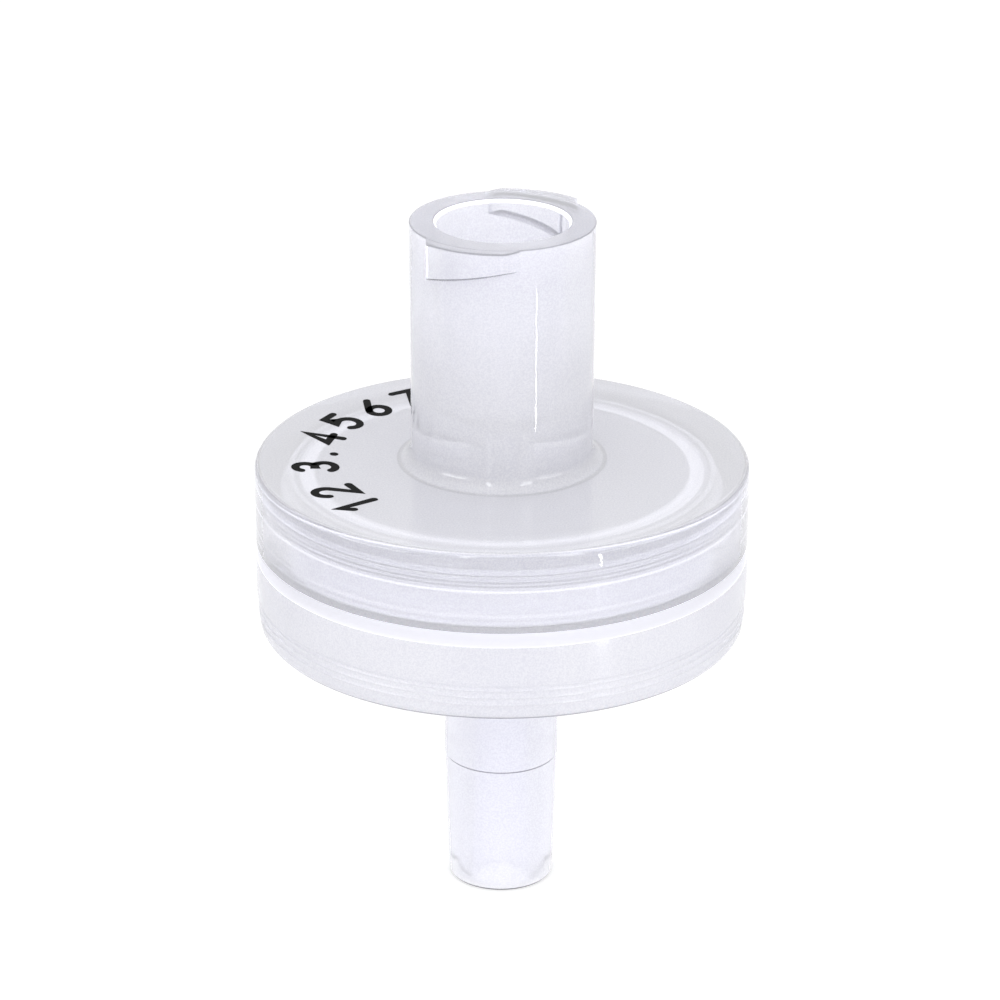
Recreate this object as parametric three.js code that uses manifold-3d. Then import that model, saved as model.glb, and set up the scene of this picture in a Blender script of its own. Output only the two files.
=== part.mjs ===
// Syringe filter, 13 mm class: a membrane clamped between two moulded housings.
// The inlet housing carries a female Luer-lock hub, the outlet housing a male Luer slip tip.
// Millimetres, +Z up, origin at the centre of the tip's end face. The lock lugs stand at -Y and +Y.

import * as THREE from 'three';
import { mergeVertices } from 'three/addons/utils/BufferGeometryUtils.js';
import Module from 'manifold-3d';

const wasm = await Module();
wasm.setup();

// ---- driving dimensions ----

// heights above the tip's end face
const tipSeamZ = 5.22; // witness line where the slip tip meets its collar
const bodyBottomZ = 10.81;
const bodyStepZ = 12.27; // small step round the lower wall
const flangeZ = 13.86; // upper face of the outlet housing's flange
const skirtZ = 14.4; // lower edge of the inlet housing's skirt
const bodyTopZ = 17.53;
const rimZ = 27.0; // face of the Luer-lock hub

// the round body
const bodyR = 9.4;
const topEdgeR = 0.28; // edge radius between the top face and the wall
const bottomEdgeR = 0.4;
const stepDepth = 0.1;
const skirtInnerR = 8.13;
const skirtChamfer = 0.12;

// the hub: a barrel with moulding draft and a conical bore
const hubRimR = 3.49;
const hubBaseR = 3.445;
const hubFootR = 0.55; // radius where the barrel runs into the top face
const mouthR = 2.596;
const mouthChamfer = { width: 0.12, depth: 0.15 };
const luerTaper = 0.03; // fall of the radius for each millimetre of length, the 6 % Luer cone
const boreDepth = 7.0;
const boreFloorDrop = 0.75; // cone between the bore and the inlet hole
const inletHoleR = 0.8;

// the two lock lugs: pieces of a right-hand thread, cut off square to the mould's parting direction
const lugR = 3.888;
const lugTopZ = rimZ - 0.04; // just short of the rim's face
const lugLead = 4.6; // rise of the thread in one turn
const lugDepth = 0.765; // below the rim, where the lug faces straight out
const lugFlank = 0.18; // how far the underside falls from the crest to the root
const lugCut = 2.8; // distance of the square end from the middle plane
const lugSpan = { from: -40.8, full: -0.8, to: 13 }; // degrees from straight out, turning to the right
const lugSteps = 7; // sections of full height
const lugEndR = 3.36; // where the crest ends, inside the barrel

// the membrane and what clamps it
const membraneR = 7.38;
const membraneThickness = 0.18;
const membraneTopZ = bodyTopZ - 1.5;
const clampR = { inner: 7.13, outer: 7.7 }; // ridge of the inlet housing that presses on the membrane
const weldR = 7.42; // outside it the ridge reaches down past the membrane to the outlet housing
const clampReliefZ = bodyTopZ - 1.3; // ceiling of the groove outside the ridge
const chamberZ = bodyTopZ - 1.25; // ceiling above the membrane
const bossR = 7.84; // boss of the outlet housing, inside the skirt

// rings that spread the liquid above the membrane, and grooves that drain it below
const spreadRings = { radii: [3.1, 4.6, 5.9], width: 0.35, height: 0.14, gap: 1.0, gaps: 4 };
const drainGrooves = { radii: [2.4, 4.1, 5.8], width: 0.6, depth: 0.3 };
const drainChannels = { count: 8, width: 0.64, depth: 0.3, reach: 6.5 };

// the outlet
const tipEndR = 2.005; // radius of the slip cone, carried down to its end face
const tipEdgeR = 0.15;
const collarR = { seam: 2.185, body: 2.2 };
const outletBoreR = { end: 1.05, top: 0.9 };
const coreTopZ = 14.13; // roof of the hollow under the outlet housing
const coreR = { top: 7.95, bottom: 8.05 };
const coreFillet = 0.4;

// facets
const turnSegments = 64;
const arcSteps = 3;
const coreSteps = 2; // in the fillets of the hollow underside

// ---- helpers ----

const radians = (degrees) => (degrees * Math.PI) / 180;
const point = (r, z) => new THREE.Vector2(r, z);

// points of an arc about (r, z), angles in degrees from the +R direction towards +Z
function arc(r, z, radius, from, to, steps = arcSteps) {
  return Array.from({ length: steps + 1 }, (_, i) => {
    const angle = radians(from + ((to - from) * i) / steps);
    return point(r + radius * Math.cos(angle), z + radius * Math.sin(angle));
  });
}

// a closed outline of (radius, height) points turned about Z; the outline runs anticlockwise
function turned(outline) {
  const geometry = new THREE.LatheGeometry([...outline, outline[0]], turnSegments);
  return geometry.rotateX(Math.PI / 2);
}

function toSolid(geometry) {
  const bare = geometry.clone();
  bare.deleteAttribute('normal');
  bare.deleteAttribute('uv');
  const welded = mergeVertices(bare, 1e-5);
  const mesh = new wasm.Mesh({
    numProp: 3,
    vertProperties: new Float32Array(welded.attributes.position.array),
    triVerts: new Uint32Array(welded.index.array),
  });
  return new wasm.Manifold(mesh);
}

function toGeometry(solid) {
  const mesh = solid.getMesh();
  const geometry = new THREE.BufferGeometry();
  geometry.setAttribute('position', new THREE.BufferAttribute(mesh.vertProperties, 3));
  geometry.setIndex(new THREE.BufferAttribute(mesh.triVerts, 1));
  geometry.computeVertexNormals();
  return geometry;
}

// a body with flat ends through closed sections, each a list of points anticlockwise seen from ahead
function lofted(sections) {
  const count = sections[0].length;
  const positions = sections.flat().flatMap((p) => [p.x, p.y, p.z]);
  const indices = [];
  for (let s = 0; s + 1 < sections.length; s += 1) {
    for (let i = 0; i < count; i += 1) {
      const a = s * count + i;
      const b = s * count + ((i + 1) % count);
      indices.push(a, b, b + count, a, b + count, a + count);
    }
  }
  const last = (sections.length - 1) * count;
  for (let i = 1; i + 1 < count; i += 1) {
    indices.push(0, i + 1, i, last, last + i, last + i + 1);
  }
  const geometry = new THREE.BufferGeometry();
  geometry.setAttribute('position', new THREE.Float32BufferAttribute(positions, 3));
  geometry.setIndex(indices);
  return geometry;
}

const supportZ = membraneTopZ - membraneThickness; // face on which the membrane lies

// ---- inlet housing ----

// one lug: its section is a tooth of the thread; one end is square, the other runs out into the barrel
function lug() {
  const rootR = hubBaseR - 0.4; // inside the barrel's wall, so that the two fuse
  const slope = lugFlank / (lugR - hubRimR);
  const section = (crestR, angleAt) => {
    const at = (r, z) => {
      const turn = radians(angleAt(r));
      return new THREE.Vector3(r * Math.sin(turn), -r * Math.cos(turn), z);
    };
    const under = (r) => rimZ - lugDepth + (lugLead * angleAt(r)) / 360 - slope * (lugR - r);
    return [at(crestR, lugTopZ), at(crestR, under(crestR)), at(rootR, under(rootR)), at(rootR, lugTopZ)];
  };
  const squareEnd = section(lugR, (r) => -THREE.MathUtils.radToDeg(Math.asin(lugCut / r)));
  const full = Array.from({ length: lugSteps + 1 }, (_, i) =>
    section(lugR, () => lugSpan.from + ((lugSpan.full - lugSpan.from) * i) / lugSteps),
  );
  return toSolid(lofted([squareEnd, ...full, section(lugEndR, () => lugSpan.to)]));
}

function inletBody() {
  const boreTopZ = rimZ - mouthChamfer.depth;
  const boreTopR = mouthR - mouthChamfer.width;
  const boreFloorZ = rimZ - boreDepth;
  const boreFloorR = boreTopR - luerTaper * (boreTopZ - boreFloorZ);
  return turned([
    point(mouthR, rimZ),
    point(boreTopR, boreTopZ),
    point(boreFloorR, boreFloorZ),
    point(inletHoleR, boreFloorZ - boreFloorDrop),
    point(inletHoleR, chamberZ),
    point(clampR.inner, chamberZ),
    point(clampR.inner, membraneTopZ),
    point(weldR, membraneTopZ),
    point(weldR, supportZ),
    point(clampR.outer, supportZ),
    point(clampR.outer, clampReliefZ),
    point(skirtInnerR, clampReliefZ),
    point(skirtInnerR, skirtZ + skirtChamfer),
    point(skirtInnerR + skirtChamfer, skirtZ),
    point(bodyR, skirtZ),
    ...arc(bodyR - topEdgeR, bodyTopZ - topEdgeR, topEdgeR, 0, 90),
    ...arc(hubBaseR + hubFootR, bodyTopZ + hubFootR, hubFootR, 270, 180),
    point(hubRimR, rimZ),
  ]);
}

// the spreading rings hang from the chamber's ceiling, each open at evenly spaced gaps
function spreaders() {
  const { radii, width, height, gap, gaps } = spreadRings;
  const sunk = 0.05; // into the ceiling
  const rings = radii.map((r) =>
    toSolid(
      turned([
        point(r - width / 2, chamberZ + sunk),
        point(r - width / 2, chamberZ - height),
        point(r + width / 2, chamberZ - height),
        point(r + width / 2, chamberZ + sunk),
      ]),
    ),
  );
  const slots = Array.from({ length: gaps / 2 }, (_, i) => {
    const slot = new THREE.BoxGeometry(2 * bodyR, gap, 4 * height);
    slot.rotateZ(radians(45 + (360 / gaps) * i));
    slot.translate(0, 0, chamberZ);
    return toSolid(slot);
  });
  const ringSet = rings.reduce((all, ring) => all.add(ring));
  return slots.reduce((left, slot) => left.subtract(slot), ringSet);
}

function inletHousing() {
  const tooth = lug();
  return toSolid(inletBody()).add(tooth).add(tooth.rotate([0, 0, 180])).add(spreaders());
}

// ---- outlet housing ----

// the support face from its rim to the drain hole, with square grooves between its rings
function supportFace() {
  const { radii, width, depth } = drainGrooves;
  return [...radii].reverse().flatMap((r) => [
    point(r + width / 2, supportZ),
    point(r + width / 2, supportZ - depth),
    point(r - width / 2, supportZ - depth),
    point(r - width / 2, supportZ),
  ]);
}

function outletBody() {
  const lowerR = bodyR - stepDepth;
  const tipSeamR = tipEndR + luerTaper * tipSeamZ;
  const edgeTopR = tipEndR + luerTaper * tipEdgeR;
  const edgeFlatR = edgeTopR - tipEdgeR;
  return turned([
    point(outletBoreR.end, 0),
    ...arc(edgeFlatR, tipEdgeR, tipEdgeR, 270, 360),
    point(tipSeamR, tipSeamZ),
    point(collarR.seam, tipSeamZ + 0.03),
    point(collarR.body, bodyBottomZ),
    ...arc(collarR.body + coreFillet, coreTopZ - coreFillet, coreFillet, 180, 90, coreSteps),
    ...arc(coreR.top - coreFillet, coreTopZ - coreFillet, coreFillet, 90, 0, coreSteps),
    point(coreR.bottom, bodyBottomZ),
    ...arc(lowerR - bottomEdgeR, bodyBottomZ + bottomEdgeR, bottomEdgeR, 270, 360),
    point(lowerR, bodyStepZ),
    point(bodyR, bodyStepZ + 0.04),
    point(bodyR, flangeZ),
    point(bossR, flangeZ),
    point(bossR, supportZ),
    ...supportFace(),
    point(outletBoreR.top, supportZ),
  ]);
}

// radial channels that lead from ring to ring into the drain hole
function drains() {
  const { count, width, depth, reach } = drainChannels;
  const overlap = 0.2;
  return Array.from({ length: count }, (_, i) => {
    const channel = new THREE.BoxGeometry(reach, width, depth + overlap);
    channel.translate(reach / 2, 0, supportZ - depth + (depth + overlap) / 2);
    channel.rotateZ(radians((360 / count) * i));
    return toSolid(channel);
  });
}

function outletHousing() {
  return drains().reduce((body, channel) => body.subtract(channel), toSolid(outletBody()));
}

// ---- membrane ----

function membrane() {
  const profile = [
    point(0, supportZ),
    point(membraneR, supportZ),
    point(membraneR, membraneTopZ),
    point(0, membraneTopZ),
  ];
  return new THREE.LatheGeometry(profile, turnSegments).rotateX(Math.PI / 2);
}

// ---- the assembly ----

const clearPlastic = { color: 0xe4e4ee, roughness: 0.25, metalness: 0, transparent: true, opacity: 0.45 };
const membranePlastic = { color: 0xf2f2f0, roughness: 0.8, metalness: 0 };

function addPiece(group, name, geometry, look) {
  const piece = new THREE.Mesh(geometry, new THREE.MeshStandardMaterial(look));
  piece.name = name;
  group.add(piece);
}

const syringeFilter = new THREE.Group();
addPiece(syringeFilter, 'inlet_housing', toGeometry(inletHousing()), clearPlastic);
addPiece(syringeFilter, 'membrane', membrane(), membranePlastic);
addPiece(syringeFilter, 'outlet_housing', toGeometry(outletHousing()), clearPlastic);

export default syringeFilter;
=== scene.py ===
"""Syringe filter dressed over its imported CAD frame.

Shapes are made in millimetres above the outlet tip's end, then scaled to metres.
"""

import math

import bpy
from mathutils import Matrix, Vector


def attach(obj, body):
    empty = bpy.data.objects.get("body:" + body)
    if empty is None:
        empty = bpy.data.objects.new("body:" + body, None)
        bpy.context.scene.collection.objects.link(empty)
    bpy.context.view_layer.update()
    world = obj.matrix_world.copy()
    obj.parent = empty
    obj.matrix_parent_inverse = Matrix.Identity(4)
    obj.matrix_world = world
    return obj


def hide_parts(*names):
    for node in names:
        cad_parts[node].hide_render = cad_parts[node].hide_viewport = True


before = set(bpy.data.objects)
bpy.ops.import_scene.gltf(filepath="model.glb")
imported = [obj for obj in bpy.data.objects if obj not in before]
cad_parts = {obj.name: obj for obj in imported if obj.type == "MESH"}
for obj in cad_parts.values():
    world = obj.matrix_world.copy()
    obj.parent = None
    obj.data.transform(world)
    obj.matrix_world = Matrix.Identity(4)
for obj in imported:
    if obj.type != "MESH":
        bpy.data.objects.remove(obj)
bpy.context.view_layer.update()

MM = 0.001
SEGMENTS = 256  # sides of a turned shape
SHARP_ANGLE = 32  # degrees; a sharper edge stays crisp
CLEARANCE = 0.004  # between pieces that touch
SLIP_TAPER = 0.03  # of the radius, along the Luer bore and tip

# heights above the tip's end
TIP_SEAM_Z = 5.22
BODY_BOTTOM_Z = 10.81
BODY_STEP_Z = 12.27
FLANGE_Z = 13.86
CORE_Z = 14.13  # ceiling of the hollow underside
SKIRT_Z = 14.4
SKIRT_CHAMFER_Z = SKIRT_Z + 0.12
BODY_TOP_Z = 17.53
RIM_Z = 27.0

# the membrane, its chamber and what clamps it
MEMBRANE_Z = BODY_TOP_Z - 1.5
SUPPORT_Z = MEMBRANE_Z - 0.18
CHAMBER_Z = BODY_TOP_Z - 1.25
RELIEF_Z = BODY_TOP_Z - 1.3  # ceiling between the clamping ridge and the skirt
MEMBRANE_R = 7.38
RIDGE_IN_R = 7.13
RIDGE_STEP_R = 7.42
RIDGE_OUT_R = 7.7
SEAT_R = 7.84

# the body and the hub
BODY_R = 9.4
LOWER_WALL_R = BODY_R - 0.1
SKIRT_IN_R = 8.13
HUB_RIM_R = 3.49
HUB_BASE_R = 3.445
MOUTH_R = 2.596
BORE_R = 2.476
THROAT_R = 0.8
LUG_R = 3.888

# the outlet's tip
TIP_R = 2.005
TIP_BORE_R = 1.05
COLLAR_R = 2.2
SEAM_NOTCH = 0.03

# lines of painted light and shade seen through the skirt, on its inner wall, below the top
SKIRT_LINES = (1.44, 1.5, 1.6, 1.68, 1.8, 1.89, 2.74, 2.87, 2.96)
# lines of painted shade in the relief's ceiling, by radius
RELIEF_LINES = (7.82, 7.93)
# fine ridges turned round the lower wall, below the top
TURNED_LINES = (6.02, 5.74, 5.46, 5.28)


# ---- mesh tools ----


def rounded(corners, steps=5):
    """A closed (r, z) outline whose corners of three numbers are rounded to the third."""
    points = []
    count = len(corners)
    for i, corner in enumerate(corners):
        here = Vector(corner[:2])
        radius = corner[2] if len(corner) > 2 else 0
        if not radius:
            points.append(here)
            continue
        back = (Vector(corners[i - 1][:2]) - here).normalized()
        ahead = (Vector(corners[(i + 1) % count][:2]) - here).normalized()
        half = back.angle(ahead) / 2
        reach = radius / math.tan(half)
        centre = here + (back + ahead).normalized() * (radius / math.sin(half))
        first = here + back * reach - centre
        last = here + ahead * reach - centre
        sweep = math.atan2(first.x * last.y - first.y * last.x, first.dot(last))
        start = math.atan2(first.y, first.x)
        for k in range(steps + 1):
            angle = start + sweep * k / steps
            points.append(centre + Vector((math.cos(angle), math.sin(angle))) * radius)
    return points


def new_object(name, verts, faces):
    mesh = bpy.data.meshes.new(name)
    mesh.from_pydata([tuple(v) for v in verts], [], faces)
    mesh.validate()
    obj = bpy.data.objects.new(name, mesh)
    bpy.context.scene.collection.objects.link(obj)
    return obj


def turned(name, outline):
    """A solid of revolution about Z; the outline runs anticlockwise in (r, z)."""
    verts, rings = [], []
    for r, z in (point[:2] for point in outline):
        if r < 1e-6:  # on the axis
            rings.append([len(verts)] * SEGMENTS)
            verts.append((0, 0, z))
            continue
        rings.append(list(range(len(verts), len(verts) + SEGMENTS)))
        for j in range(SEGMENTS):
            angle = 2 * math.pi * j / SEGMENTS
            verts.append((r * math.cos(angle), r * math.sin(angle), z))
    faces = []
    for i, ring in enumerate(rings):
        above = rings[(i + 1) % len(rings)]
        for j in range(SEGMENTS):
            k = (j + 1) % SEGMENTS
            face = [ring[j], ring[k], above[k], above[j]]
            face = [v for n, v in enumerate(face) if v not in face[:n]]
            if len(face) > 2:
                faces.append(face)
    return new_object(name, verts, faces)


def lofted(name, sections):
    """A solid with flat ends through closed sections, each anticlockwise seen from ahead."""
    count = len(sections[0])
    faces = []
    for s in range(len(sections) - 1):
        for i in range(count):
            a, b = s * count + i, s * count + (i + 1) % count
            faces.append([a, b, b + count, a + count])
    faces.append(list(range(count))[::-1])
    last = (len(sections) - 1) * count
    faces.append([last + i for i in range(count)])
    return new_object(name, [p for section in sections for p in section], faces)


def box(name, low, high, turn):
    """A box between two corners, turned about Z by so many degrees."""
    x, y, z = zip(low, high)
    verts = [(x[i], y[j], z[k]) for i in (0, 1) for j in (0, 1) for k in (0, 1)]
    faces = [
        (0, 1, 3, 2),
        (4, 6, 7, 5),
        (0, 4, 5, 1),
        (2, 3, 7, 6),
        (0, 2, 6, 4),
        (1, 5, 7, 3),
    ]
    obj = new_object(name, verts, faces)
    obj.data.transform(Matrix.Rotation(math.radians(turn), 4, "Z"))
    return obj


def boolean(target, tool, operation):
    """Joins tool to target or cuts it from target, in place; the tool is used up."""
    step = target.modifiers.new("step", "BOOLEAN")
    step.operation = operation
    step.object = tool
    step.solver = "EXACT"
    depsgraph = bpy.context.evaluated_depsgraph_get()
    mesh = bpy.data.meshes.new_from_object(target.evaluated_get(depsgraph))
    target.modifiers.clear()
    target.data = mesh
    bpy.data.objects.remove(tool)


def finished(obj, name, replaces, material):
    """Scales a shape to metres, smooths it between its sharp edges, gives it to the frame."""
    obj.name = name
    obj.data.name = name
    obj.data.transform(Matrix.Scale(MM, 4))
    obj.data.polygons.foreach_set("use_smooth", [True] * len(obj.data.polygons))
    obj.data.set_sharp_from_angle(angle=math.radians(SHARP_ANGLE))
    flat = obj.modifiers.new("normals", "WEIGHTED_NORMAL")
    flat.keep_sharp = True
    flat.weight = 100
    obj.data.materials.clear()
    obj.data.materials.append(material)
    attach(obj, "root")
    if replaces:
        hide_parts(replaces)


# ---- material tools ----


def node(tree, kind, **inputs):
    made = tree.nodes.new(kind)
    for name, value in inputs.items():
        made.inputs[name.replace("_", " ")].default_value = value
    return made


def feed(tree, value, socket):
    """Links another node's output to a socket, or sets the socket to a plain value."""
    if isinstance(value, bpy.types.NodeSocket):
        tree.links.new(value, socket)
    else:
        socket.default_value = value


def ramp(tree, coordinate, start, end, low, high):
    """Goes from low to high while a coordinate goes from start to end, in millimetres."""
    made = node(
        tree,
        "ShaderNodeMapRange",
        From_Min=start * MM,
        From_Max=end * MM,
        To_Min=low,
        To_Max=high,
    )
    tree.links.new(coordinate, made.inputs["Value"])
    return made.outputs["Result"]


def mix(tree, share, first, second):
    """A number between first and second, by a share of the second."""
    made = node(tree, "ShaderNodeMix")
    for name, value in (("Factor", share), ("A", first), ("B", second)):
        feed(tree, value, made.inputs[name])
    return made.outputs["Result"]


def noise(tree, place, **inputs):
    made = node(tree, "ShaderNodeTexNoise", **inputs)
    tree.links.new(place.outputs["Object"], made.inputs["Vector"])
    return made.outputs["Fac"]


def two_tone(tree, level, dark, light):
    """A colour ramp between two colours, driven by a level."""
    tones = tree.nodes.new("ShaderNodeValToRGB")
    tones.color_ramp.elements[0].color = (*dark, 1)
    tones.color_ramp.elements[1].color = (*light, 1)
    tree.links.new(level, tones.inputs["Fac"])
    return tones


def bumped(tree, body, height, strength, distance):
    bump = node(tree, "ShaderNodeBump", Strength=strength, Distance=distance)
    tree.links.new(height, bump.inputs["Height"])
    tree.links.new(bump.outputs["Normal"], body.inputs["Normal"])


def seen(tree, hidden, shown):
    """A strength for the surroundings: hidden is what lights the object.

    Shown is what the eye meets, straight, in reflections and through the plastic.
    """
    path = tree.nodes.new("ShaderNodeLightPath")
    total = path.outputs["Is Camera Ray"]
    for kind in ("Is Glossy Ray", "Is Transmission Ray"):
        step = tree.nodes.new("ShaderNodeMath")
        step.operation = "ADD"
        step.use_clamp = True
        tree.links.new(total, step.inputs[0])
        tree.links.new(path.outputs[kind], step.inputs[1])
        total = step.outputs[0]
    level = node(tree, "ShaderNodeMapRange", To_Min=hidden, To_Max=shown)
    tree.links.new(total, level.inputs["Value"])
    return level.outputs["Result"]


# ---- materials ----

GREY_SPECK = 0.88  # of the plastic's red and green in its darker specks
BLUE_SPECK = 0.91
RIM_GLOW = 0.05  # painted light: glow added at the hub's rim
RIM_GLOW_DEPTH = 1.5  # below the rim
SKIN = (BODY_TOP_Z - 0.06, BODY_TOP_Z - 0.01)  # where the wall's haze becomes the top's
HAZE_CLIMB = (BODY_TOP_Z + 2, RIM_Z - 0.5)  # where the hub's foot clears towards its rim
SHADE_CLIMB = (BODY_TOP_Z + 1, BODY_TOP_Z + 6.5)  # where the painted shade on the hub's foot fades out
HUB_EDGE = (3.5, 3.9)  # radii between the hub and the top over the membrane
DISC_EDGE = (7.6, 8.1)  # radii between the membrane and the rest of the disc


def plastic(name, colour, haze, roughness, painted_glow=0.0, zone_shade=(1.0, 1.0, 1.0)):
    """Milky clear plastic: glass with a share of white, which is the haze.

    Haze is for the hub's foot, the disc's wall, the disc's top and the hub's rim.
    The last argument is painted shade: it dims the colour at the hub's foot, the top over the
    membrane and the rest of the disc.
    """
    material = bpy.data.materials.new(name)
    material.use_nodes = True
    tree = material.node_tree
    tree.nodes.clear()
    out = tree.nodes.new("ShaderNodeOutputMaterial")
    body = node(tree, "ShaderNodeBsdfPrincipled", IOR=1.49, Emission_Color=(0.94, 0.94, 1, 1))

    # height and distance from the axis
    place = tree.nodes.new("ShaderNodeTexCoord")
    spot = tree.nodes.new("ShaderNodeSeparateXYZ")
    tree.links.new(place.outputs["Object"], spot.inputs["Vector"])
    across = tree.nodes.new("ShaderNodeCombineXYZ")
    tree.links.new(spot.outputs["X"], across.inputs["X"])
    tree.links.new(spot.outputs["Y"], across.inputs["Y"])
    distance = tree.nodes.new("ShaderNodeVectorMath")
    distance.operation = "LENGTH"
    tree.links.new(across.outputs["Vector"], distance.inputs[0])
    height, radius = spot.outputs["Z"], distance.outputs["Value"]

    # how much is clear, by zone
    foot, wall, top, rim = (1 - share for share in haze)
    in_disc = ramp(tree, radius, *DISC_EDGE, 0.0, 1.0)
    up_hub = ramp(tree, height, *HAZE_CLIMB, foot, rim)
    up_wall = ramp(tree, height, *SKIN, wall, top)
    clear = mix(tree, in_disc, up_hub, up_wall)
    tree.links.new(clear, body.inputs["Transmission Weight"])
    # painted light: the plastic glows, and more towards the hub's rim
    rim_glow = ramp(tree, height, RIM_Z - RIM_GLOW_DEPTH, RIM_Z, painted_glow, painted_glow + RIM_GLOW)
    tree.links.new(rim_glow, body.inputs["Emission Strength"])

    # specks of the colour, darkened by zone as painted shade
    up_shade = ramp(tree, height, *SHADE_CLIMB, zone_shade[0], 1.0)
    off_hub = ramp(tree, radius, *HUB_EDGE, 0.0, 1.0)
    tone = mix(tree, in_disc, mix(tree, off_hub, up_shade, zone_shade[1]), zone_shade[2])
    dark = (GREY_SPECK * colour[0], GREY_SPECK * colour[1], BLUE_SPECK * colour[2])
    mottle = noise(tree, place, Scale=15000.0, Detail=3.0, Roughness=0.7)
    base = two_tone(tree, mottle, dark, colour)
    base.color_ramp.elements[0].position = 0.4
    base.color_ramp.elements[1].position = 0.6
    shade = tree.nodes.new("ShaderNodeVectorMath")
    shade.operation = "SCALE"
    tree.links.new(base.outputs["Color"], shade.inputs[0])
    tree.links.new(tone, shade.inputs["Scale"])
    tree.links.new(shade.outputs["Vector"], body.inputs["Base Color"])

    # uneven gloss over a fine grain
    cloud = noise(tree, place, Scale=420.0, Detail=3.0, Roughness=0.6)
    rough = node(
        tree, "ShaderNodeMapRange", To_Min=roughness * 0.7, To_Max=roughness * 1.3
    )
    tree.links.new(cloud, rough.inputs["Value"])
    tree.links.new(rough.outputs["Result"], body.inputs["Roughness"])
    grain = noise(tree, place, Scale=2600.0, Detail=2.0)
    bumped(tree, body, grain, 0.15, 0.00002)

    # lamps shine through the plastic, a little dimmed
    path = tree.nodes.new("ShaderNodeLightPath")
    through = node(tree, "ShaderNodeBsdfTransparent", Color=(0.86, 0.86, 0.88, 1))
    either = tree.nodes.new("ShaderNodeMixShader")
    tree.links.new(path.outputs["Is Shadow Ray"], either.inputs["Fac"])
    tree.links.new(body.outputs["BSDF"], either.inputs[1])
    tree.links.new(through.outputs["BSDF"], either.inputs[2])
    tree.links.new(either.outputs["Shader"], out.inputs["Surface"])
    inside = node(
        tree, "ShaderNodeVolumeAbsorption", Color=(0.22, 0.24, 0.46, 1), Density=12.0
    )
    tree.links.new(inside.outputs["Volume"], out.inputs["Volume"])
    return material


def matt(name, dark, light, roughness, **grain):
    """A matt material in two close tones; gives its tree and grain too."""
    material = bpy.data.materials.new(name)
    material.use_nodes = True
    tree = material.node_tree
    body = tree.nodes["Principled BSDF"]
    body.inputs["Roughness"].default_value = roughness
    level = noise(tree, tree.nodes.new("ShaderNodeTexCoord"), **grain)
    tones = two_tone(tree, level, dark, light)
    tree.links.new(tones.outputs["Color"], body.inputs["Base Color"])
    return material, tree, body, level


def membrane_material():
    # painted shade: the white membrane is given grey tones for the shade it lies in under the
    # plastic; its fibre grain is its own
    material, tree, body, fibre = matt(
        "membrane",
        (0.60, 0.62, 0.66),
        (0.74, 0.75, 0.79),
        0.85,
        Scale=5000.0,
        Detail=4.0,
        Roughness=0.7,
    )
    bumped(tree, body, fibre, 0.4, 0.00003)
    return material


def ink_material():
    material, _, body, _ = matt(
        "ink", (0.002,) * 3, (0.008,) * 3, 0.55, Scale=6000.0, Detail=3.0
    )
    body.inputs["Specular IOR Level"].default_value = 0.05
    return material


upper = plastic(
    "inlet plastic",
    (0.945, 0.945, 0.98),
    haze=(0.74, 0.39, 0.78, 0.37),
    roughness=0.03,
    # painted shade, darker by zone: the hub's foot, the top over the membrane, the rest of
    # the disc
    zone_shade=(0.79, 0.96, 0.985),
)
lower = plastic(
    "outlet plastic",
    (0.96, 0.96, 1.0),
    haze=(0.43, 0.66, 0.66, 0.4),
    roughness=0.18,
    # painted light: a faint glow all over
    painted_glow=0.02,
    # painted shade, darker by zone: the top over the membrane and the rest of the disc
    zone_shade=(1.0, 0.88, 0.86),
)
# painted light and shade: copies of the plastic, glowing or darkened, for what the clamp, the
# weld and the edges show through the plastic, light to dark
glowing_white = plastic("pressed plastic", (0.95, 0.95, 0.98), (0.9,) * 4, 0.3, painted_glow=0.68)
lit = plastic("lit plastic", (0.52, 0.52, 0.54), (0.9,) * 4, 0.3, painted_glow=0.68)
soft_glow = plastic("clouded plastic", (0.92, 0.92, 0.95), (0.7,) * 4, 0.3, painted_glow=0.2)
light_shade = plastic("faint plastic", (0.84, 0.84, 0.87), (0.74,) * 4, 0.1)
mid_shade = plastic("mid shade plastic", (0.48, 0.48, 0.52), (0.7,) * 4, 0.2)
shaded = plastic("shaded plastic", (0.12, 0.12, 0.14), (0.85,) * 4, 0.2)
paper = membrane_material()
ink = ink_material()


# ---- inlet housing ----

LUG_HEIGHT = 0.765  # at the front, from the rim to the underside
LUG_TOP_Z = RIM_Z - 0.012
LUG_SHADE_WIDTH = 0.2  # width of the painted dark strip along the underside
LUG_SLOPE = 0.18 / (LUG_R - HUB_RIM_R)  # of the underside, inwards
LUG_END_X = 2.8  # the square end
LUG_STRIP = 0.07  # width of the strip painted light at the square end
THREAD_LEAD = 4.6
RUN_OUT_R = 3.4  # of the crest, where it has gone into the barrel
RUN_OUT_STEPS = 8


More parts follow.
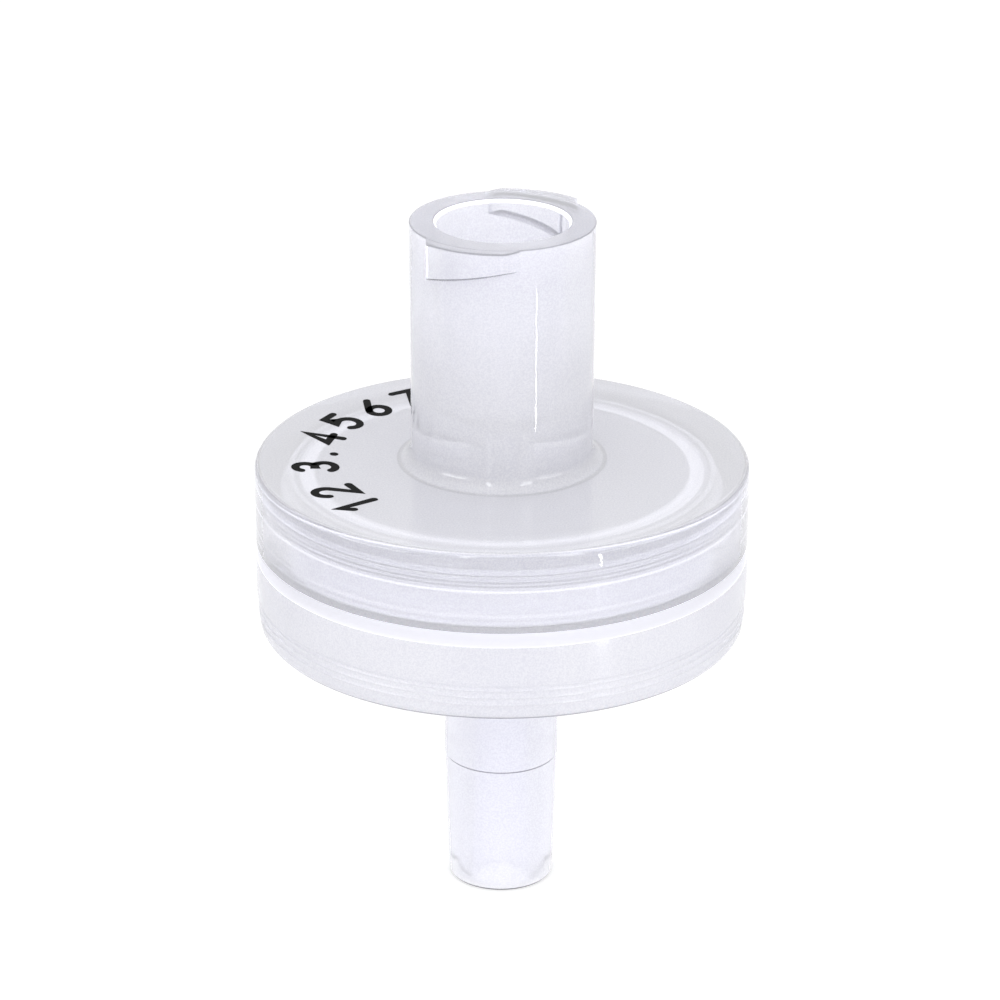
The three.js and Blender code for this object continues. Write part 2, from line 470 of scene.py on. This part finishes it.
def lug(turn):
    """One lock lug: a tooth of the thread, square at one end, running out at the other."""
    root_r = HUB_BASE_R - 0.4

    def section(crest_r, angle_at):
        def under(r):
            climb = THREAD_LEAD * math.degrees(angle_at(r)) / 360
            return RIM_Z - LUG_HEIGHT + climb - LUG_SLOPE * (LUG_R - r)

        strip_r = crest_r - LUG_SHADE_WIDTH
        corners = [
            (crest_r, LUG_TOP_Z, 0.06),
            (crest_r, under(crest_r), 0.02),
            (strip_r, under(strip_r)),
            (root_r, under(root_r)),
            (root_r, LUG_TOP_Z),
        ]
        points = []
        for r, z in rounded(corners, 3):
            angle = angle_at(r)
            points.append(Vector((r * math.sin(angle), -r * math.cos(angle), z)))
        return points

    sections = [
        section(LUG_R, lambda r, x=x: -math.asin(x / r))
        for x in (LUG_END_X, LUG_END_X - LUG_STRIP)
    ]
    for degrees in range(-42, 1, 3):
        sections.append(section(LUG_R, lambda r, a=degrees: math.radians(a)))
    for k in range(1, RUN_OUT_STEPS + 1):
        crest_r = LUG_R - (LUG_R - RUN_OUT_R) * (k / RUN_OUT_STEPS) ** 1.3
        sections.append(section(crest_r, lambda r, a=k * 1.5: math.radians(a)))
    tooth = lofted("lug", sections)
    tooth.data.transform(Matrix.Rotation(math.radians(turn), 4, "Z"))
    return tooth


def spreading_ring(r):
    """A ring hanging over the membrane, broken at four gaps."""
    low, high, half = CHAMBER_Z - 0.14, CHAMBER_Z + 0.05, 0.175
    outline = [
        (r - half, high),
        (r - half, low, 0.05),
        (r + half, low, 0.05),
        (r + half, high),
    ]
    ring = turned("ring", rounded(outline))
    for turn in (45, 135):
        gap = box("gap", (-9, -0.5, low - 1), (9, 0.5, high + 1), turn)
        boolean(ring, gap, "DIFFERENCE")
    return ring


def inlet():
    bore_end = RIM_Z - 7.0
    bore_start = RIM_Z - 0.15
    shell = turned(
        "inlet",
        rounded(
            [
                (MOUTH_R, RIM_Z, 0.05),
                (BORE_R, bore_start, 0.03),
                (BORE_R - SLIP_TAPER * (bore_start - bore_end), bore_end, 0.3),
                (THROAT_R, bore_end - 0.75, 0.15),
                (THROAT_R, CHAMBER_Z, 0.1),
                (RIDGE_IN_R, CHAMBER_Z, 0.05),
                (RIDGE_IN_R, MEMBRANE_Z, 0.02),
                (RIDGE_STEP_R, MEMBRANE_Z),
                (RIDGE_STEP_R, SUPPORT_Z),
                (RIDGE_OUT_R, SUPPORT_Z, 0.03),
                (RIDGE_OUT_R, RELIEF_Z, 0.05),
                *((r, RELIEF_Z) for r in RELIEF_LINES),
                (SKIRT_IN_R, RELIEF_Z, 0.05),
                *((SKIRT_IN_R, BODY_TOP_Z - drop) for drop in SKIRT_LINES),
                (SKIRT_IN_R, SKIRT_CHAMFER_Z, 0.03),
                (8.25, SKIRT_Z, 0.03),
                (8.4, SKIRT_Z),
                (BODY_R, SKIRT_Z, 0.05),
                (BODY_R, BODY_TOP_Z, 0.28),
                (HUB_BASE_R, BODY_TOP_Z, 0.55),
                (HUB_RIM_R, RIM_Z, 0.05),
            ]
        ),
    )
    for r in (3.1, 4.6, 5.9):
        boolean(shell, spreading_ring(r), "UNION")
    for turn in (0, 180):
        boolean(shell, lug(turn), "UNION")
    return shell


# ---- outlet housing and membrane ----

DRAIN_DEPTH = 0.3


def outlet():
    support = SUPPORT_Z - CLEARANCE
    drains = []
    for r in (5.8, 4.1, 2.4):
        drains += [
            (r + 0.3, support),
            (r + 0.3, support - DRAIN_DEPTH, 0.08),
            (r - 0.3, support - DRAIN_DEPTH, 0.08),
            (r - 0.3, support),
        ]
    seam_r = TIP_R + SLIP_TAPER * TIP_SEAM_Z
    base = turned(
        "outlet",
        rounded(
            [
                (TIP_BORE_R, 0, 0.05),
                (TIP_R, 0, 0.15),
                (seam_r, TIP_SEAM_Z - 0.025),
                (seam_r - SEAM_NOTCH, TIP_SEAM_Z),
                (2.185, TIP_SEAM_Z + 0.025, 0.01),
                (COLLAR_R, CORE_Z, 0.4),
                (7.95, CORE_Z, 0.4),
                (8.05, BODY_BOTTOM_Z, 0.1),
                (LOWER_WALL_R, BODY_BOTTOM_Z, 0.4),
                *(
                    (LOWER_WALL_R + out, BODY_TOP_Z - drop + up)
                    for drop in TURNED_LINES
                    for out, up in ((0, -0.05), (0.03, 0), (0, 0.05))
                ),
                (LOWER_WALL_R, BODY_STEP_Z, 0.02),
                (BODY_R, BODY_STEP_Z + 0.04, 0.02),
                (BODY_R, FLANGE_Z, 0.03),
                (SEAT_R, FLANGE_Z, 0.1),
                (SEAT_R, support, 0.04),
                *drains,
                (0.9, support, 0.08),
            ]
        ),
    )
    for turn in (0, 45, 90, 135):
        low = (-6.5, -0.32, SUPPORT_Z - DRAIN_DEPTH)
        boolean(base, box("channel", low, (6.5, 0.32, SUPPORT_Z + 0.2), turn), "DIFFERENCE")
    return base


def membrane():
    low, high = SUPPORT_Z - CLEARANCE / 2, MEMBRANE_Z - CLEARANCE
    return turned("membrane", [(0, low), (MEMBRANE_R, low), (MEMBRANE_R, high), (0, high)])


# ---- zones of a piece that have a material of their own ----

ANY = (-math.inf, math.inf)
DOWN = (-math.inf, -0.9)


def above(z):
    return (z, math.inf)


def below(z):
    return (-math.inf, z)


def zone(r=ANY, z=ANY, rise=ANY, side=ANY):
    """The faces within ranges of radius, height, and of their normal's z and |x|."""

    def wanted(radius, height, normal):
        measured = (radius, height, normal.z, abs(normal.x))
        return all(low < v < high for v, (low, high) in zip(measured, (r, z, rise, side)))

    return wanted


def skirt_band(first, last):
    """The skirt's inner wall between two of its lines."""
    drops = SKIRT_LINES[first], SKIRT_LINES[last]
    return zone(
        r=(SKIRT_IN_R - 0.03, SKIRT_IN_R + 0.03),
        z=(BODY_TOP_Z - drops[1], BODY_TOP_Z - drops[0]),
    )


def paint(obj, material, *zones):
    obj.data.materials.append(material)
    for face in obj.data.polygons:
        at = face.center / MM
        if any(wanted(at.xy.length, at.z, face.normal) for wanted in zones):
            face.material_index = len(obj.data.materials) - 1


shell = inlet()
base = outlet()
on_hub = above(RIM_Z - 2)
at_rim = above(RIM_Z - 0.06)
on_relief = above(RELIEF_Z - 0.1)

finished(shell, "inlet_shell", "inlet_housing", upper)
# the clamping ridge, painted glowing white: a painted highlight
paint(shell, glowing_white, zone(r=(7.1, 7.72), z=below(RELIEF_Z + 0.02), rise=DOWN))
# painted highlight: a line in the skirt, the lugs' square ends and the mouth's chamfer
paint(
    shell,
    lit,
    skirt_band(4, 5),
    zone(r=above(LUG_R - 0.06), z=on_hub, rise=(-0.1, 0.1), side=(0.7, 0.75)),
    zone(r=(2.45, MOUTH_R), z=above(RIM_Z - 0.16), rise=(0.3, 0.65)),
)
# painted light, a soft glow: a line in the skirt and the relief outside its lines
paint(
    shell,
    soft_glow,
    skirt_band(6, 7),
    zone(r=(RELIEF_LINES[1], 8.14), z=on_relief, rise=DOWN),
)
# painted shade, light: the disc's top edge, the ring at the hub's foot and the skirt's inner
# edge
paint(
    shell,
    light_shade,
    zone(r=above(BODY_R - 0.3), z=above(BODY_TOP_Z - 0.3), rise=(0.85, 0.93)),
    zone(r=(3.7, 4.1), z=above(BODY_TOP_Z - 0.1), rise=(0.96, 0.999)),
    zone(r=(8.1, 8.16), z=(SKIRT_CHAMFER_Z, BODY_TOP_Z - SKIRT_LINES[8])),
    zone(r=(8.24, 8.4), z=below(SKIRT_Z + 0.02)),
)
# painted shade, mid grey: lines in the skirt and the relief, the mouth's and the rim's edges,
# the lugs' edges
paint(
    shell,
    mid_shade,
    skirt_band(0, 1),
    skirt_band(2, 3),
    zone(r=RELIEF_LINES, z=on_relief, rise=DOWN),
    zone(r=(2.55, 2.7), z=at_rim, rise=(0.66, 0.995)),
    zone(r=above(HUB_RIM_R - 0.02), z=on_hub, rise=below(-0.3)),
    zone(r=above(HUB_RIM_R - 0.02), z=on_hub, side=above(0.98)),
    zone(r=above(HUB_RIM_R - 0.06), z=at_rim, rise=(0.2, 0.97)),
)
# painted shade, dark: the skirt's and the lugs' undersides
paint(
    shell,
    shaded,
    zone(r=above(8.4), z=below(SKIRT_Z + 0.02)),
    zone(r=above(HUB_RIM_R + 0.1), z=on_hub, rise=below(-0.3)),
)

finished(base, "outlet_shell", "outlet_housing", lower)
# painted highlight on the flange, a soft glow on the boss above it, painted shade on the
# tip's end, the tip's seam and the bottom edge
paint(base, lit, zone(r=above(7.83), z=(FLANGE_Z - 0.02, FLANGE_Z + 0.02)))
paint(base, soft_glow, zone(r=(7.8, 7.9), z=above(FLANGE_Z + 0.02)))
paint(base, shaded, zone(r=(1.8, 3), z=below(0.08)))
paint(
    base,
    mid_shade,
    zone(r=below(2.3), z=(TIP_SEAM_Z - 0.03, TIP_SEAM_Z + 0.03)),
    zone(r=above(9), z=below(BODY_BOTTOM_Z + 0.13), rise=below(-0.6)),
)

finished(membrane(), "filter_disc", "membrane", paper)


# ---- plain numbers round the top ----

PEN = 0.31  # width of the stroke
GLYPH_HEIGHT = 1.5  # between the middles of the highest and lowest strokes
GLYPH_FOOT_R = 6.38
GLYPH_SLANT = 0.12
PRINT_LOW, PRINT_HIGH = BODY_TOP_Z - 0.003, BODY_TOP_Z + 0.012
ROUND_STEPS = 8  # in a stroke's round end


def arc(cx, cy, rx, ry, start, end, steps=14):
    angles = [math.radians(start + (end - start) * i / steps) for i in range(steps + 1)]
    return [(cx + rx * math.cos(a), cy + ry * math.sin(a)) for a in angles]


# strokes of each figure, in a box one high, from the middle of its foot
FIGURES = {
    "1": [[(-0.16, 0.78), (0.08, 1.0), (0.08, 0.0)]],
    "2": [arc(0, 0.72, 0.26, 0.28, 170, -35) + [(-0.26, 0.0), (0.28, 0.0)]],
    "3": [arc(0, 0.75, 0.24, 0.25, 150, -90) + arc(0, 0.26, 0.28, 0.26, 90, -150)],
    "4": [[(0.12, 0.0), (0.12, 1.0), (-0.28, 0.3), (0.28, 0.3)]],
    "5": [[(0.24, 1.0), (-0.2, 1.0), (-0.24, 0.56)] + arc(0, 0.32, 0.28, 0.32, 120, -140)],
    "6": [[(0.16, 1.0), (-0.18, 0.5)] + arc(0, 0.28, 0.26, 0.28, 150, 510, 24)],
    "7": [[(-0.26, 1.0), (0.26, 1.0), (-0.06, 0.0)]],
    ".": [[(0.0, 0.0), (0.0, 0.02)]],
}


def right_of(direction):
    return Vector((direction.y, -direction.x))


def one_side(path):
    """The right edge of a ribbon along a path, with an elbow at each bend and a round end."""
    half = PEN / 2
    edge = []
    for i, here in enumerate(path):
        ahead = (path[i + 1] - here).normalized() if i + 1 < len(path) else None
        back = (here - path[i - 1]).normalized() if i else None
        if back is None:
            edge.append(here + right_of(ahead) * half)
        elif ahead is None:
            for k in range(ROUND_STEPS + 1):
                a = math.pi * k / ROUND_STEPS
                edge.append(here + (right_of(back) * math.cos(a) + back * math.sin(a)) * half)
        else:
            across = right_of((ahead + back).normalized())
            edge.append(here + across * (half / max(0.5, across.dot(right_of(ahead)))))
    return edge


def stroke(points, place, verts, faces):
    """Adds one stroke as a closed slab."""
    path = [Vector(p) for p in points]
    outline = one_side(path) + one_side(path[::-1])
    start = len(verts)
    size = len(outline)
    for z in (PRINT_LOW, PRINT_HIGH):
        verts.extend(place(p.x, p.y, z) for p in outline)
    faces.append([start + i for i in range(size)][::-1])
    faces.append([start + size + i for i in range(size)])
    for i in range(size):
        j = (i + 1) % size
        faces.append([start + i, start + j, start + size + j, start + size + i])


def figure(char, phi, index):
    """One figure, its head outwards, at phi degrees clockwise from the front."""
    angle = math.radians(phi)
    out = Vector((-math.sin(angle), -math.cos(angle)))

    def place(x, y, z):
        at = out * (GLYPH_FOOT_R + y) + right_of(out) * (x + GLYPH_SLANT * y)
        return (at.x, at.y, z)

    verts, faces = [], []
    for line in FIGURES[char]:
        scaled = [(x * GLYPH_HEIGHT, y * GLYPH_HEIGHT) for x, y in line]
        stroke(scaled, place, verts, faces)
    name = f"figure_{index}"
    finished(new_object(name, verts, faces), name, None, ink)


PRINT = (
    ("1", 47),
    ("2", 60),
    ("3", 80.5),
    (".", 92),
    ("4", 105),
    ("5", 119.5),
    ("6", 134.5),
    ("7", 148),
)
for index, (char, phi) in enumerate(PRINT):
    figure(char, phi, index)


# ---- floor, light and camera ----

LIGHT_AIM = Vector((0, 0, 0.016))  # metres
# degrees right of the front and up; metres away; size in metres; watts
LAMPS = {
    "overhead": (-30, 62, 0.7, (0.5, 0.5), 0.45),
    "right": (32, 30, 0.6, (0.12, 0.36), 0.55),
    "left": (-17, 34, 0.6, (0.06, 0.3), 0.3),
    "low_left": (-60, 6, 0.5, (0.3, 0.08), 0.45),
    "low_right": (60, 6, 0.5, (0.3, 0.08), 0.3),
    # narrow lamps close by, for the line of light on the hub and the wall
    "strip": (41, -12.5, 0.045, (0.0008, 0.0082), 0.0005),
    "strip_low": (40, -19.5, 0.045, (0.0009, 0.0015), 0.00001),
}
CAMERA_AT = (0, -0.1457, 0.07628)
CAMERA_PITCH = 22.558  # degrees downwards
CAMERA_ROLL = 0.174


def floor():
    corners = [(-3, -3, 0), (3, -3, 0), (3, 3, 0), (-3, 3, 0)]
    obj = new_object("floor", corners, [(0, 1, 2, 3)])
    material = bpy.data.materials.new("pale floor")
    material.use_nodes = True
    tree = material.node_tree
    tree.nodes.clear()
    out = tree.nodes.new("ShaderNodeOutputMaterial")
    grey = node(tree, "ShaderNodeBsdfDiffuse", Color=(0.5, 0.5, 0.5, 1))
    lift = node(tree, "ShaderNodeEmission", Color=(1, 1, 1, 1))
    tree.links.new(seen(tree, 0.42, 0.62), lift.inputs["Strength"])
    both = tree.nodes.new("ShaderNodeAddShader")
    tree.links.new(grey.outputs[0], both.inputs[0])
    tree.links.new(lift.outputs[0], both.inputs[1])
    tree.links.new(both.outputs[0], out.inputs["Surface"])
    obj.data.materials.append(material)


def sky():
    world = bpy.data.worlds.new("studio")
    world.use_nodes = True
    bpy.context.scene.world = world
    tree = world.node_tree
    tree.nodes.clear()
    out = tree.nodes.new("ShaderNodeOutputWorld")
    room = node(tree, "ShaderNodeBackground", Color=(1, 1, 1, 1))
    tree.links.new(seen(tree, 0.74, 1.0), room.inputs["Strength"])
    tree.links.new(room.outputs[0], out.inputs["Surface"])


def lamp(name, azimuth, elevation, distance, size, power):
    data = bpy.data.lights.new(name, "AREA")
    data.shape = "RECTANGLE"
    data.size, data.size_y = size
    data.energy = power
    obj = bpy.data.objects.new(name, data)
    bpy.context.scene.collection.objects.link(obj)
    a, e = math.radians(azimuth), math.radians(elevation)
    out = Vector((math.sin(a) * math.cos(e), -math.cos(a) * math.cos(e), math.sin(e)))
    obj.location = LIGHT_AIM + out * distance
    obj.rotation_mode = "QUATERNION"
    obj.rotation_quaternion = (-out).to_track_quat("-Z", "Y")
    obj.visible_camera = False
    obj.visible_transmission = False


def camera():
    data = bpy.data.cameras.new("camera")
    data.sensor_width = 36
    data.lens = 148.85
    data.shift_x = -0.0019
    data.clip_start = 0.01
    data.clip_end = 20
    obj = bpy.data.objects.new("camera", data)
    bpy.context.scene.collection.objects.link(obj)
    obj.location = CAMERA_AT
    pitch = Matrix.Rotation(math.radians(90 - CAMERA_PITCH), 4, "X")
    roll = Matrix.Rotation(math.radians(CAMERA_ROLL), 4, "Z")
    obj.rotation_mode = "QUATERNION"
    obj.rotation_quaternion = (pitch @ roll).to_quaternion()
    bpy.context.scene.camera = obj


floor()
sky()
for name, settings in LAMPS.items():
    lamp(name, *settings)
camera()
bpy.context.scene.view_settings.view_transform = "Standard"
